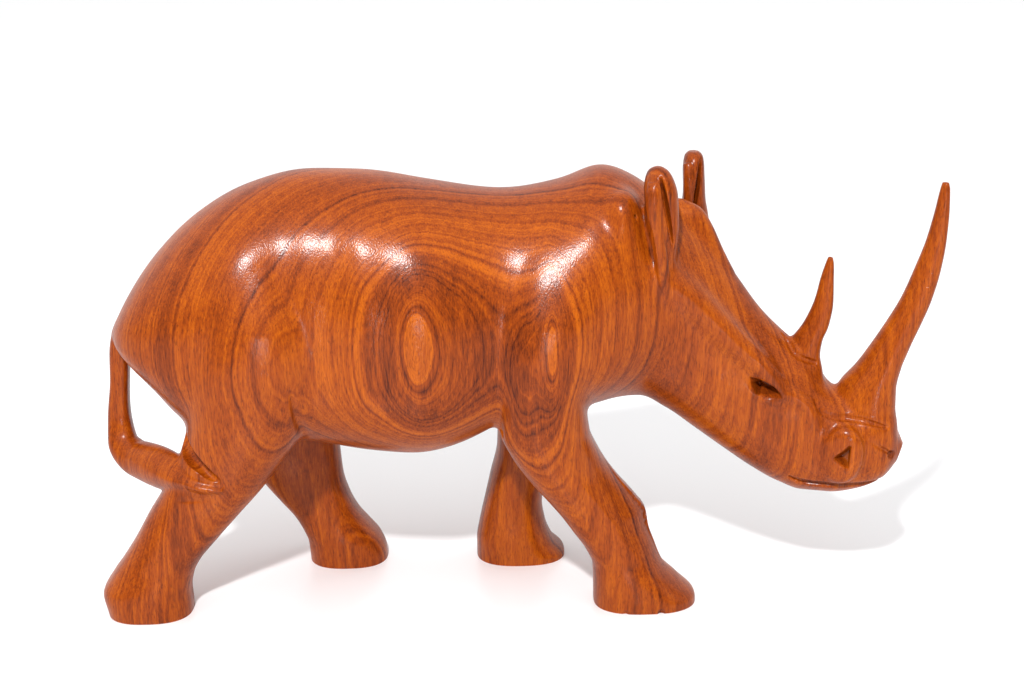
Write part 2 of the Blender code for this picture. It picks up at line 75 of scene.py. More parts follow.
# Half the width over haunch, waist, belly, waist, shoulder and neck: x, y.
BODY_HALF = (
    (-483, 10), (-476, 44), (-460, 74), (-430, 98), (-385, 119), (-325, 132), (-268, 121), (-246, 125),
    (-222, 124), (-184, 134), (-165, 133), (-125, 139), (-30, 120), (48, 128), (105, 112), (145, 88),
    (180, 58), (197, 12),
)
BODY_SQUARE = 2.25

# The head and neck: x and z of the upper line, x and z of the lower line, half width, squareness on top.
HEAD = (
    (30, 400, 20, 310, 30, 2.5),
    (60, 462, 44, 246, 88, 2.5),
    (95, 482, 78, 236, 95, 2.4),
    (135, 466, 108, 238, 90, 2.2),
    (182, 450, 142, 236, 82, 1.9),
    (216, 424, 174, 221, 74, 1.75),
    (246, 382, 207, 198, 66, 1.75),
    (273, 345, 240, 175, 61, 1.8),
    (300, 318, 270, 155, 57, 1.9),
    (328, 294, 300, 139, 53, 2.1),
    (352, 259, 328, 131, 51, 2.3),
    (380, 244, 358, 131, 48, 2.5),
    (406, 238, 390, 138, 42, 2.5),
    (425, 214, 417, 154, 31, 2.5),
    (436, 193, 430, 172, 10, 2.5),
)
HEAD_SQUARE = 2.5
# The head leaves the body's midline at this x, swings to the right over this run and keeps this slope.
TURN_START = 70.0
TURN_RUN = 120.0
TURN_SLOPE = 0.33

# Near means the animal's right side and far its left, in all that follows.
# The legs seen from the side: z, x of the back edge, x of the front edge.
HAUNCH = ((220, -396, -262), (260, -388, -246), (300, -378, -242), (345, -356, -250), (410, -312, -286))
SHOULDER = ((213, -33, 72), (250, -37, 68), (300, -34, 73), (350, -26, 78), (400, -12, 76), (430, 12, 58))
NEAR_HIND = (
    (-14, -495, -399), (6, -499, -399), (25, -503, -400), (46, -492, -396), (64, -479, -387),
    (90, -462, -365), (120, -445, -338), (150, -426, -311), (185, -408, -284),
) + HAUNCH
NEAR_FORE = (
    (-14, 77, 197), (6, 76, 197), (26, 76, 179), (46, 75, 159), (70, 65, 149), (90, 51, 142),
    (108, 38, 139), (125, 24, 127), (155, -1, 103), (185, -21, 84),
) + SHOULDER
FAR_HIND = (
    (-14, -267, -170), (6, -268, -171), (26, -270, -178), (42, -276, -190), (62, -287, -205),
    (83, -304, -215), (112, -326, -223), (147, -344, -226), (190, -372, -230),
) + HAUNCH
FAR_FORE = (
    (-14, -58, 52), (4, -58, 52), (20, -58, 38), (45, -54, 28), (72, -48, 24), (107, -40, 28),
    (147, -31, 38), (185, -30, 54),
) + SHOULDER
# How far each leg's inner and outer faces lie from the midline: z, inner, outer.
LEG_DEPTH = (
    (-14, 28, 118), (6, 26, 122), (28, 26, 120), (60, 29, 114), (120, 27, 112), (150, 22, 116),
    (185, 18, 122), (220, 14, 130), (260, 14, 137), (300, 18, 141), (345, 26, 136), (390, 40, 118),
    (430, 55, 88),
)
LEG_SQUARE = 2.5
# A ridge parts the side of the right front leg from its front. Its rows are the height, the share of the
# width at which it lies and how much the front leans inward from there.
NO_RIDGE = ((-14, 0.7, 0.0), (430, 0.7, 0.0))
NEAR_FORE_RIDGE = (
    (-14, 0.75, 0.0), (14, 0.73, 0.12), (40, 0.76, 0.5), (60, 0.74, 0.65), (105, 0.6, 0.65), (156, 0.6, 0.4),
    (205, 0.65, 0.0), (430, 0.65, 0.0),
)
# How much of its own shift to the right each front leg has at a height, and that shift at the foot.
FORE_SHIFT = ((-14, 1.0), (60, 0.9), (130, 0.6), (200, 0.25), (260, 0.0), (430, 0.0))
NEAR_FORE_SHIFT = -12.0
FAR_FORE_SHIFT = -7.0

# The horns seen from the side: z, x of the back edge, x of the front edge, half width.
NOSE_HORN = (
    (180, 372, 420, 30), (215, 356, 428, 36), (240, 355, 425, 34), (262, 364, 425, 30), (285, 381, 429, 25),
    (310, 396, 437, 21), (368, 426, 458, 15), (403, 438.5, 466, 12.5), (438, 449.5, 470.5, 10),
    (473, 457, 472, 7.5), (496, 461, 471.5, 5), (505, 463, 470, 3),
)
BROW_HORN = (
    (250, 316, 342, 14), (275, 306, 344, 18), (295, 304, 341, 18), (312, 310, 343, 16),
    (331, 321.5, 349.5, 13), (360, 333, 353.5, 10), (388, 339, 353, 7), (404, 343.5, 352.5, 5),
    (412, 346, 351, 2.6),
)
# The ears: z, x and y of the middle, half the length, half the width, turn in radians.
NEAR_EAR = (
    (340, 158, -58, 7, 10, 0.0), (380, 157, -70, 11, 15, 0.1), (420, 156, -76, 14, 19, 0.2),
    (460, 154, -78, 18, 23, 0.25), (490, 152, -78, 18, 23, 0.25), (508, 150, -78, 15, 20, 0.25),
    (518, 149, -78, 10, 14, 0.25), (522, 149, -78, 4, 6, 0.25),
)
FAR_EAR = (
    (390, 204, 30, 21, 22, 0.0), (430, 205, 38, 19, 23, 0.0), (465, 206, 41, 13, 22, 0.0),
    (496, 205, 42, 12.5, 20, 0.0), (510, 205, 42, 10.5, 15, 0.0), (515, 205, 42, 6, 8, 0.0),
)
EAR_SQUARE = 2.2
# The rolled back edge of each ear: x, y, z and radius.
NEAR_EAR_ROLL = (
    (143, -92, 507, 8), (142, -96, 492, 9.5), (143, -97, 470, 9.5), (146, -97, 448, 8.5), (150, -97, 425, 8),
    (154, -94, 395, 7.5), (159, -90, 365, 6.5), (164, -86, 340, 5),
)
FAR_EAR_ROLL = ((197, 30, 503, 6), (198, 26, 485, 7), (198, 25, 460, 7), (200, 22, 435, 6), (203, 18, 415, 5))
# The slit that hollows each ear: its middle, its half sizes and its lean in degrees.
NEAR_EAR_SLIT = ((157, -104, 476), (3.0, 18, 50), (0, -10, 6))
FAR_EAR_SLIT = ((208, 18, 480), (2.6, 15, 48), (0, 8, 4))
# Where the top of the right ear's roll is pared off: a point of the cut, its heading and its half size.
EAR_PARING = ((140, -98, 508), (-0.5, -0.45, 0.74), 16)
# The tail bends to the right and lies on the right hind leg: the middle's x, y and z, half the thickness,
# half the width and the squareness.
TAIL = (
    (-440, 0, 352, 12, 20, 3), (-466, 0, 328, 14, 22, 3), (-476, -1, 300, 12, 20, 3.5),
    (-479, -2, 262, 11, 17, 3.5), (-482, -4, 222, 13, 17, 3.2), (-479, -12, 190, 17, 18, 2.8),
    (-458, -29, 172, 22, 21, 2.2), (-427, -60, 171, 26, 23, 1.7), (-396, -92, 170, 22, 21, 1.4),
    (-372, -108, 166, 13, 17, 1.3), (-350, -114, 164, 5, 10, 1.3),
)

# What is carved on each side of the head: place along it, distance from its middle plane, height.
EYE = (288.0, 54.0, 266.0)
EYE_SLANT = -32.0
EYE_HALF_LENGTH = 30.0
EYE_RISE = 9.0
EYE_DROP = 15.0
EYE_FULLNESS = 2.2
# The lids are fuller towards the front, the upper one more than the lower.
EYE_SWING = (0.35, 0.1)
EYE_DEPTH = 13.0
# Where the eye and the nostril are deepest, from their middles.
EYE_DEEPEST = (4, 6)
NOSTRIL_DEEPEST = (6, 0)
# How far a carved hollow draws in to that place, from 1 for upright walls to 0 for a point.
TAPER = 0.3
# The pupil is a notch in the eye's sloping floor: corners from the eye's middle, and depth.
PUPIL = ((-15, 7), (1, 9), (-7, -12))
PUPIL_START = 2.0
PUPIL_DEPTH = 15.0
NOSTRIL = (374.0, 41.0, 189.0)
NOSTRIL_RADII = (24.0, 36.0, 14.0)
NOSTRIL_TURN = (84.0, 8.0, 3.0)
NOSTRIL_SQUARE = 3.2
NOSTRIL_CUT = ((13, 26), (-19, -4), (9, -26))
NOSTRIL_DEPTH = 13.0
# Ropes of clay and one cut, each with its radius as a fourth number.
BROW = (
    (166, 70, 402, 8), (185, 68, 388, 11), (207, 63, 369, 13), (232, 58, 343, 13), (256, 55, 318, 12),
    (276, 53, 300, 10), (290, 53, 287, 8), (300, 52, 273, 6), (308, 51, 258, 4),
)
CHEEK = ((316, 43, 260, 4), (326, 45, 252, 6), (336, 44, 242, 7), (340, 45, 228, 6), (339, 45, 214, 4))
MOUTH_SIDE = (
    (316, 41, 157, 2), (326, 40.5, 153.5, 3.5), (340, 40, 150.5, 4), (358, 39, 149.5, 4),
    (376, 37, 149, 4), (392, 32, 149, 4), (405, 24, 151, 3.5), (414, 11, 154, 3),
)
# The fold at the shoulder hump's front end, behind the ears: middle, half sizes, lean in degrees.
SHOULDER_FOLD = ((112, 60, 432), (25, 35, 60), (0, -6, 0))
FOLD_SQUARE = 3.0
# The deep gap between that fold and the ear on the right: a rope that is cut away.
EAR_GAP = (
    (129, -92, 486, 2), (132, -96, 468, 4), (136, -100, 445, 5.5), (139, -102, 420, 5.5),
    (142, -103, 398, 4.5), (146, -103, 375, 3), (150, -101, 350, 1),
)
# The creases where the belly runs into the right legs, also cut away.
FORE_CREASE = ((-35, -92, 214, 6), (-36, -110, 240, 4.5), (-36, -120, 262, 3), (-35, -128, 290, 1))
HIND_CREASE = ((-250, -85, 205, 6), (-259, -106, 230, 4.5), (-265, -122, 255, 3), (-268, -133, 284, 1))

# The crown of the head between the ears: a rope of clay.
CROWN = (
    (160, -14, 446, 12), (178, -18, 457, 15), (194, -22, 451, 15), (208, -26, 434, 13), (222, -31, 408, 9),
    (234, -35, 386, 5),
)
# Grooves on each side of the head, under the long horn's foot, round the short one's and at the muzzle's
# front, with the small pit in which the last one ends.
HORN_RIM = (
    (342, 37, 250, 1), (349, 42, 240, 3.5), (362, 41, 234, 5), (377, 36, 232, 5), (393, 36, 230, 4),
    (409, 33, 225, 3), (421, 28, 221, 1.5),
)
BROW_HORN_RIM = (
    (298, 5, 319, 1.5), (307, 10, 310, 3), (317, 20, 299, 3.5), (328, 18, 292, 3.5), (339, 13, 288, 2.5),
)
MUZZLE_CREASE = ((398, 43, 211, 1), (406, 41, 205, 2), (416, 34, 197, 2.2), (425, 25, 189, 2.6))
MUZZLE_PIT = ((426, 26, 187), (5, 6, 5))
# The lower lid, a rope of clay under each eye.
LOWER_LID = (
    (264, 55, 271, 1), (273, 55.5, 261, 2), (286, 55.5, 253, 2.5), (299, 54, 248, 2), (311, 51, 246, 1),
)
# Grooves left by the knife: on the shoulder hump, above the tail where it lies on the leg, and below it.
HUMP_CREASE = ((97, -73, 487, 0.8), (110, -78, 478, 1.8), (124, -85, 464, 2), (134, -88, 452, 1))
TAIL_HOLLOW = (
    (-404, -78, 222, 9), (-394, -94, 211, 12), (-384, -106, 201, 11.5), (-374, -114, 191, 8.5),
    (-363, -119, 180, 5), (-352, -122, 173, 1),
)
TAIL_LEDGE = (
    (-417, -106, 148, 1), (-405, -113, 149, 3), (-389, -117, 150, 4), (-372, -119, 151, 3.5),
    (-354, -120, 154, 1),
)
# Chips out of the right front sole: place and half sizes.
CHIPS = (((110, -131, 1), (3, 3, 3)), ((152, -132, 1), (4, 3, 4)))

# How far two forms melt into each other where they meet.
MELT_NECK = 34.0
MELT_LEG = 14.0
MELT_FOLD = 12.0
MELT_BROW = 22.0
MELT_SMALL = 8.0
MELT_TAIL = 2.5
MELT_CREASE = 6.0
MELT_NOSTRIL = 4.0
MELT_CROWN = 12.0
MELT_EDGE = 1.5

# Points round a large form and round a small one.
WIDE_ROUND = 144
ROUND = 48
# Sections along the body and each leg, and between two rows of the head, the tail and all smaller forms.
SECTIONS = 240
HEAD_STEPS = 12
TAIL_STEPS = 10
STEPS = 6
# How often the body's lines are evened out.
EVENINGS = 16
# Corners along the eye's upper lid.
LID_CORNERS = 16

# The block that holds the figure, in drawing units.
LOW = (-530, -185, -24)
HIGH = (500, 185, 545)
# Distances are kept true no further from a surface than the band, and as far as two forms melt together
# and this margin more. The outermost hair of them isn't used.
BAND = 44.0
MARGIN = 12.0
HAIR = 0.01


def smooth(stops, at):
    """Values at the places given by `at`, on the smooth line through (place, value) stops."""
    place, value = np.array(stops, float).T
    run = np.diff(place)
    rise = np.diff(value) / run
    slope = np.zeros_like(value)
    slope[0], slope[-1] = rise[0], rise[-1]
    onward = rise[:-1] * rise[1:] > 0
    first = 2 * run[1:] + run[:-1]
    last = run[1:] + 2 * run[:-1]
    with np.errstate(divide="ignore", invalid="ignore"):
        mean = (first + last) / (first / rise[:-1] + last / rise[1:])
    slope[1:-1] = np.where(onward, mean, 0.0)
    i = np.clip(np.searchsorted(place, at, side="right") - 1, 0, len(run) - 1)
    t = (at - place[i]) / run[i]
    before = value[i] * (1 + 2 * t) * (1 - t) ** 2
    after = value[i + 1] * (3 - 2 * t) * t**2
    return before + after + run[i] * t * (1 - t) * (slope[i] * (1 - t) - slope[i + 1] * t)


def columns(rows, at):
    """Each further column of the rows as a smooth line over the first one, at the given places."""
    rows = np.array(rows, float)
    return [smooth(rows[:, (0, column)], at) for column in range(1, rows.shape[1])]


def stations(rows, steps=STEPS):
    """The rows with smooth ones between them."""
    rows = np.array(rows, float)
    at = np.linspace(0, len(rows) - 1, steps * (len(rows) - 1) + 1)
    count = np.arange(len(rows))
    return np.stack([smooth(np.stack([count, column], 1), at) for column in rows.T], 1)


def head_y(x):
    """The middle line of the head and neck as seen from above."""
    past = np.asarray(x, float) - TURN_START
    swing = np.clip(past, 0, TURN_RUN)
    return -TURN_SLOPE * (swing * swing / (2 * TURN_RUN) + np.maximum(past - TURN_RUN, 0))


def head_slope(x):
    """How far that line moves to the left with each unit forward."""
    return (head_y(x + 1) - head_y(x - 1)) / 2


def ring(count, square=2.0):
    """Cosines and sines round a circle, or with a higher number round an oval with squarer corners."""
    a = np.linspace(0, 2 * math.pi, count, endpoint=False)
    c, s = np.cos(a), np.sin(a)
    return np.sign(c) * np.abs(c) ** (2 / square), np.sign(s) * np.abs(s) ** (2 / square)


def skin(rings):
    """A closed skin over rings of points: its points, its quads and the triangles of its two ends."""
    rings = np.asarray(rings, float)
    n, m, _ = rings.shape
    points = np.vstack([rings.reshape(-1, 3), rings[0].mean(0), rings[-1].mean(0)])
    i, j = np.meshgrid(np.arange(n - 1), np.arange(m), indexing="ij")
    k = (j + 1) % m
    quads = np.stack([i * m + j, i * m + k, (i + 1) * m + k, (i + 1) * m + j], -1).reshape(-1, 4)
    j = np.arange(m)
    k = (j + 1) % m
    first = np.stack([np.full(m, n * m), k, j], -1)
    last = np.stack([np.full(m, n * m + 1), (n - 1) * m + j, (n - 1) * m + k], -1)
    return points, quads, np.vstack([first, last])


def evened(values):
    """The values without sudden bends, their two ends kept."""
    values = values.copy()
    for _ in range(EVENINGS):
        values[1:-1] = (values[:-2] + 2 * values[1:-1] + values[2:]) / 4
    return values


def body():
    """The trunk from the tail's root to the chest, in sections that lie closer at its two ends."""
    c, s = ring(WIDE_ROUND, BODY_SQUARE)
    start, end = BACK_LINE[0][0], BACK_LINE[-1][0]
    at = (start + end) / 2 - (end - start) / 2 * np.cos(np.linspace(0, math.pi, SECTIONS))
    lines = [evened(smooth(line, at)) for line in (BACK_LINE, BELLY_LINE, FLANK_LINE, BODY_HALF)]
    rings = []
    for x, top, bottom, flank, half in zip(at, *lines):
        z = flank + np.where(s > 0, top - flank, flank - bottom) * s
        rings.append(np.stack([np.full_like(c, x), half * c, z], -1))
    return skin(rings)


def head():
    """The head and neck, in sections that lean and turn with them."""
    below = ring(WIDE_ROUND, HEAD_SQUARE)
    rings = []
    for x_up, z_up, x_low, z_low, half, square in stations(HEAD, HEAD_STEPS):
        above = ring(WIDE_ROUND, square)
        c, s = np.where(above[1] > 0, above, below)
        upper = np.array([x_up, head_y(x_up), z_up])
        lower = np.array([x_low, head_y(x_low), z_low])
        middle = (upper + lower) / 2
        slope = head_slope(middle[0])
        side = np.array([-slope, 1, 0]) / math.hypot(slope, 1)
        rings.append(middle + np.outer(s, (upper - lower) / 2) + np.outer(c, side * half))
    return skin(rings)


def leg(rows, side, shift=0.0, ridge=NO_RIDGE):
    """A leg on the left (side 1) or right (side -1), its foot shifted along Y, its front leaning inward."""
    c, s = ring(WIDE_ROUND, LEG_SQUARE)
    at = np.linspace(rows[0][0], rows[-1][0], SECTIONS)
    lines = columns(rows, at) + columns(LEG_DEPTH, at) + columns(ridge, at)
    rings = []
    for z, back, front, inner, outer, share, lean, away in zip(at, *lines, shift * smooth(FORE_SHIFT, at)):
        x = (back + front) / 2 + (front - back) / 2 * c
        inward = lean * np.maximum(x - back - share * (front - back), 0) * (s > 0)
        y = side * ((inner + outer) / 2 + (outer - inner) / 2 * s - inward) + away
        rings.append(np.stack([x, y, np.full_like(c, z)], -1))
    return skin(rings)


def horn(rows):
    """A horn in level sections that follow the head's turn."""
    c, s = ring(ROUND)
    rings = []
    for z, back, front, half in stations(rows):
        middle = (back + front) / 2
        x = middle + (front - back) / 2 * c
        y = head_y(middle) + head_slope(middle) * (x - middle) + half * s
        rings.append(np.stack([x, y, np.full_like(c, z)], -1))
    return skin(rings)


def ear(rows):
    """An ear in level sections, each turned by its own angle."""
    c, s = ring(ROUND, EAR_SQUARE)
    rings = []
    for z, x0, y0, a, b, turn in stations(rows):
        x = x0 + a * c * math.cos(turn) - b * s * math.sin(turn)
        y = y0 + a * c * math.sin(turn) + b * s * math.cos(turn)
        rings.append(np.stack([x, y, np.full_like(c, z)], -1))
    return skin(rings)


def headings(path):
    """The way that a path of points runs at each of them, one unit long."""
    along = np.gradient(path, axis=0)
    return along / np.linalg.norm(along, axis=1)[:, None]


def tail():
    """The tail in sections across its path, their width kept as level as they can be."""
    rows = stations(TAIL, TAIL_STEPS)
    rings = []
    for row, t in zip(rows, headings(rows[:, :3])):
        c, s = ring(ROUND, row[5])
        wide = np.array([0.0, 1.0, 0.0]) - t[1] * t
        wide /= np.linalg.norm(wide)
        rings.append(row[:3] + row[3] * np.outer(c, np.cross(t, wide)) + row[4] * np.outer(s, wide))
    return skin(rings)


def rope(rows):
    """A round rope through rows of x, y, z and radius."""
    rows = stations(rows)
    c, s = ring(ROUND)
    rings = []
    for row, t in zip(rows, headings(rows[:, :3])):
        one = np.cross(t, (0.0, 0.0, 1.0))
        one /= np.linalg.norm(one)
        rings.append(row[:3] + row[3] * (np.outer(c, one) + np.outer(s, np.cross(t, one))))
    return skin(rings)


def rotation(turn):
    """The matrix of turns about X, then Y, then Z, in degrees."""
    (ca, cb, cg), (sa, sb, sg) = np.cos(np.radians(turn)), np.sin(np.radians(turn))
    about_x = np.array([[1, 0, 0], [0, ca, -sa], [0, sa, ca]])
    about_y = np.array([[cb, 0, sb], [0, 1, 0], [-sb, 0, cb]])
    about_z = np.array([[cg, -sg, 0], [sg, cg, 0], [0, 0, 1]])
    return about_z @ about_y @ about_x


def pebble(center, radii, turn=(0, 0, 0), square=2.0):
    """An ellipsoid, or with a higher exponent a drum with soft rims, its flat ends across its own Z."""
    c, s = ring(ROUND)
    matrix = rotation(turn)
    rings = []
    for a in np.linspace(-math.pi / 2, math.pi / 2, ROUND // 2 + 1)[1:-1]:
        wide = math.cos(a) ** (2 / square)
        high = math.copysign(abs(math.sin(a)) ** (2 / square), a)
        flat = np.stack([c * wide, s * wide, np.full_like(c, high)], -1)
        rings.append((flat * radii) @ matrix.T + center)
    return skin(rings)


def paring(point, heading, half):
    """A block whose lower face passes through a point, to cut a flat face that looks along the heading."""
    up = np.array(heading, float) / np.linalg.norm(heading)
    one = np.cross(up, (0.0, 0.0, 1.0))
    one /= np.linalg.norm(one)
    two = np.cross(up, one)
    square = [half * (a * one + b * two) for a, b in ((1, -1), (1, 1), (-1, 1), (-1, -1))]
    return skin([[point + corner + height * up for corner in square] for height in (0.0, half)])


def plug(corners, outer, inner, aim):
    """A block over (along, up) corners, from one distance out to another, drawn in towards an aim."""
    corners = np.array(corners, float)
    rings = []
    for out, size in ((outer, 1.0), (inner, TAPER)):
        flat = aim + (corners - aim) * size
        rings.append(np.stack([flat[:, 0], np.full(len(flat), out), flat[:, 1]], -1))
    return skin(rings)


def turned(points, side):
    """Points of the straight head (along, out to one side, up) carried onto the turned one."""
    along, out, up = np.asarray(points, float).T
    slope = head_slope(along)
    length = np.hypot(slope, 1)
    x = along - side * out * slope / length
    y = head_y(along) + side * out / length
    return np.stack([x, y, up], 1)


def on_head(shape, side=1):
    """A shape of the straight head carried onto the turned one, on the left (side 1) or right (side -1)."""
    points, quads, triangles = shape
    if side < 0:
        quads, triangles = quads[:, ::-1], triangles[:, ::-1]
    return turned(points, side), quads, triangles


def almond():
    """The eye's outline as (along, up) corners."""
    t = np.linspace(-1, 1, LID_CORNERS)
    lid = 1 - np.abs(t) ** EYE_FULLNESS
    upper = np.stack([t * EYE_HALF_LENGTH, EYE_RISE * lid * (1 + EYE_SWING[0] * t)], 1)
    lower = np.stack([-t * EYE_HALF_LENGTH, -EYE_DROP * lid * (1 + EYE_SWING[1] * t)], 1)[1:-1]
    a = math.radians(EYE_SLANT)
    turn = np.array([[math.cos(a), math.sin(a)], [-math.sin(a), math.cos(a)]])
    return np.vstack([upper, lower]) @ turn + (EYE[0], EYE[2])


def smooth_min(a, b, melt):
    """The lesser of two distances, rounded off where they differ by less than the melt."""
    if melt <= 0:
        return np.minimum(a, b)
    near = np.maximum(melt - np.abs(a - b), 0) / melt
    return np.minimum(a, b) - near * near * melt * 0.25


class Clay:
    """A block of distances to the figure's surface, negative inside it."""

    def __init__(self, cell):
        self.cell = cell
        self.low = np.floor(np.array(LOW) / cell).astype(int)
        self.high = np.ceil(np.array(HIGH) / cell).astype(int)
        self.field = np.full(tuple(self.high - self.low), BAND, np.float32)
        self.transform = openvdb.createLinearTransform(voxelSize=cell)

    def distance(self, shape, reach):
        """Distances to a shape, and the part of the block that they fill."""
        points, quads, triangles = shape
        low = np.maximum(np.floor((points.min(0) - reach) / self.cell).astype(int), self.low)
        high = np.minimum(np.ceil((points.max(0) + reach) / self.cell).astype(int) + 1, self.high)
        grid = openvdb.FloatGrid.createLevelSetFromPolygons(
            np.ascontiguousarray(points, np.float32),
            triangles=np.ascontiguousarray(triangles, np.uint32),
            quads=np.ascontiguousarray(quads, np.uint32),
            transform=self.transform,
            halfWidth=reach / self.cell,
        )
        values = np.empty(tuple(high - low), np.float32)
        grid.copyToArray(values, ijk=tuple(int(v) for v in low))
        return values, tuple(slice(a, b) for a, b in zip(low - self.low, high - self.low))

    def merge(self, shape, melt, sign):
        """Joins a shape to the figure (sign 1) or to the space around it (sign -1)."""
        reach = min(BAND, melt + MARGIN)
        values, where = self.distance(shape, reach)
        old = self.field[where]
        self.field[where] = np.where(values < reach - HAIR, sign * smooth_min(sign * old, values, melt), old)

    def add(self, shape, melt):
        self.merge(shape, melt, 1)

    def cut(self, shape, melt=0.0):
        self.merge(shape, melt, -1)

    def surface(self):
        """Points and quads of the surface."""
        grid = openvdb.FloatGrid(BAND)
        grid.transform = self.transform
        grid.copyFromArray(self.field, ijk=tuple(int(v) for v in self.low))
        return grid.convertToQuads(0.0)


def carve(clay, side, corners, start, depth, aim):
    """Cuts a hollow of the given depth into the side of the head, deepest at the aim."""
    clay.cut(on_head(plug(corners, start, start - depth, aim), side), MELT_EDGE)


def carve_face(clay, side):
    """Models the brow, cheek, lid and nostril on one side of the head and hollows eye and nostril out."""
    clay.add(on_head(rope(BROW), side), MELT_BROW)
    clay.add(on_head(rope(CHEEK), side), MELT_SMALL)
    clay.add(on_head(rope(LOWER_LID), side), MELT_NOSTRIL)
    clay.add(on_head(pebble(NOSTRIL, NOSTRIL_RADII, NOSTRIL_TURN, NOSTRIL_SQUARE), side), MELT_NOSTRIL)
    along, out, up = EYE
    deepest = (along + EYE_DEEPEST[0], up + EYE_DEEPEST[1])
    carve(clay, side, almond(), out + MARGIN, MARGIN + EYE_DEPTH, deepest)
    notch = np.array([(along + a, up + b) for a, b in PUPIL])
    carve(clay, side, notch, out + PUPIL_START, PUPIL_START + PUPIL_DEPTH, notch.mean(0))
    along, out, up = NOSTRIL
    face = out + NOSTRIL_RADII[2]
    notch = np.array([(along + a, up + b) for a, b in NOSTRIL_CUT])
    deepest = (along + NOSTRIL_DEEPEST[0], up + NOSTRIL_DEEPEST[1])
    carve(clay, side, notch, face + MARGIN, MARGIN + NOSTRIL_DEPTH, deepest)


def figure(cell):
    """Points and quads of the whole carving, in drawing units."""
    clay = Clay(cell)
    clay.add(body(), MELT_NECK)
    clay.add(head(), MELT_NECK)
    clay.add(leg(NEAR_HIND, -1), MELT_LEG)
    clay.add(leg(NEAR_FORE, -1, NEAR_FORE_SHIFT, NEAR_FORE_RIDGE), MELT_LEG)
    clay.add(leg(FAR_HIND, 1), MELT_LEG)
    clay.add(leg(FAR_FORE, 1, FAR_FORE_SHIFT), MELT_LEG)
    (x, y, z), radii, lean = SHOULDER_FOLD
    for side in (-1, 1):
        clay.add(pebble((x, side * y, z), radii, lean, FOLD_SQUARE), MELT_FOLD)
        carve_face(clay, side)
    other = [(along, -out, up, radius) for along, out, up, radius in reversed(MOUTH_SIDE)]
    clay.cut(on_head(rope(MOUTH_SIDE + tuple(other))), MELT_EDGE)
    clay.add(ear(NEAR_EAR), MELT_SMALL)
    clay.add(ear(FAR_EAR), MELT_SMALL)
    clay.add(rope(NEAR_EAR_ROLL), MELT_EDGE)
    clay.add(rope(FAR_EAR_ROLL), MELT_EDGE)
    clay.cut(pebble(*NEAR_EAR_SLIT), MELT_EDGE)
    clay.cut(pebble(*FAR_EAR_SLIT), MELT_EDGE)
    clay.cut(paring(*EAR_PARING), MELT_EDGE)
    clay.cut(rope(EAR_GAP), MELT_EDGE)
    for groove in (FORE_CREASE, HIND_CREASE):
        clay.cut(rope(groove), MELT_CREASE)
    clay.add(rope(CROWN), MELT_CROWN)
    clay.add(horn(NOSE_HORN), MELT_SMALL)
    clay.add(horn(BROW_HORN), MELT_SMALL)
    for side in (-1, 1):
        for groove in (HORN_RIM, BROW_HORN_RIM, MUZZLE_CREASE):
            clay.cut(on_head(rope(groove), side), MELT_EDGE)
        clay.cut(on_head(pebble(*MUZZLE_PIT), side), MELT_EDGE)
    clay.add(tail(), MELT_TAIL)
    for groove in (HUMP_CREASE, TAIL_HOLLOW, TAIL_LEDGE):
        clay.cut(rope(groove), MELT_EDGE)
    for middle, radii in CHIPS:
        clay.cut(pebble(middle, radii))
    return clay.surface()


def facet(mesh, count):
    """The mesh brought down to about this many triangles."""
    rough = bpy.data.objects.new("rough", mesh)
    bpy.context.scene.collection.objects.link(rough)
    fewer = rough.modifiers.new("fewer", "DECIMATE")
    fewer.ratio = count / (2 * len(mesh.polygons))
    fewer.use_collapse_triangulate = True
    graph = bpy.context.evaluated_depsgraph_get()
    result = bpy.data.meshes.new_from_object(rough.evaluated_get(graph))
    bpy.data.objects.remove(rough)
    return result


# A face this level and no more than this many drawing units above the floor is a sole's, and shaded flat.
LEVEL = 0.9999
SOLE_HEIGHT = 1.0
# Points this near the floor, in metres, count as lying on it.
TOUCH = 1e-6


def flatten_soles(mesh):
    """Cuts the feet off flat at the floor and closes the four soles."""
    shape = bmesh.new()
    shape.from_mesh(mesh)
    everything = shape.verts[:] + shape.edges[:] + shape.faces[:]
    cut = bmesh.ops.bisect_plane(
        shape, geom=everything, dist=TOUCH, plane_co=(0, 0, 0), plane_no=(0, 0, 1), clear_inner=True
    )
    rim = [part for part in cut["geom_cut"] if isinstance(part, bmesh.types.BMEdge)]
    soles = bmesh.ops.edgeloop_fill(shape, edges=rim)["faces"]
    bmesh.ops.triangulate(shape, faces=soles)
    bmesh.ops.recalc_face_normals(shape, faces=shape.faces[:])
    for face in shape.faces:
        face.smooth = abs(face.normal.z) < LEVEL or face.calc_center_median().z > SOLE_HEIGHT * UNIT
    for edge in rim:
        if edge.is_valid:
            edge.smooth = False
    shape.to_mesh(mesh)
    shape.free()


def figurine():
    """The fine mesh as an object, its middle set over the middle of the frame's solid."""
    points, quads = figure(CELL)
    mesh = bpy.data.meshes.new("surface")
    mesh.from_pydata((points * UNIT).tolist(), [], quads.tolist())
    mesh.update()
    mesh = facet(mesh, FACETS)
    flatten_soles(mesh)
    mesh.name = "carved_rhinoceros"
    corners = np.array([vertex.co for vertex in mesh.vertices])
    middle = (corners.min(0) + corners.max(0)) / 2
    low, high = np.array(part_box("rhinoceros"))
    place = (low + high) / 2 - middle
    piece = bpy.data.objects.new("carved_rhinoceros", mesh)
    piece.location = (place[0], place[1], 0)
    bpy.context.scene.collection.objects.link(piece)
    return piece


# The tree's ring sheets stand almost upright and bend back towards the rump and the head. In drawing
# units: where they bulge the most, their radius there, how much they lean, and the depth of the first.
BULGE_X = -75.0
BULGE_RADIUS = 320.0
LEAN = 0.06
LEAN_HEIGHT = 298.0
FIRST_DEPTH = 147.0
# How much a sheet turns towards the head with depth, counted from the right side's surface.
TWIST = 0.0012
NEAR_FACE = 140.0
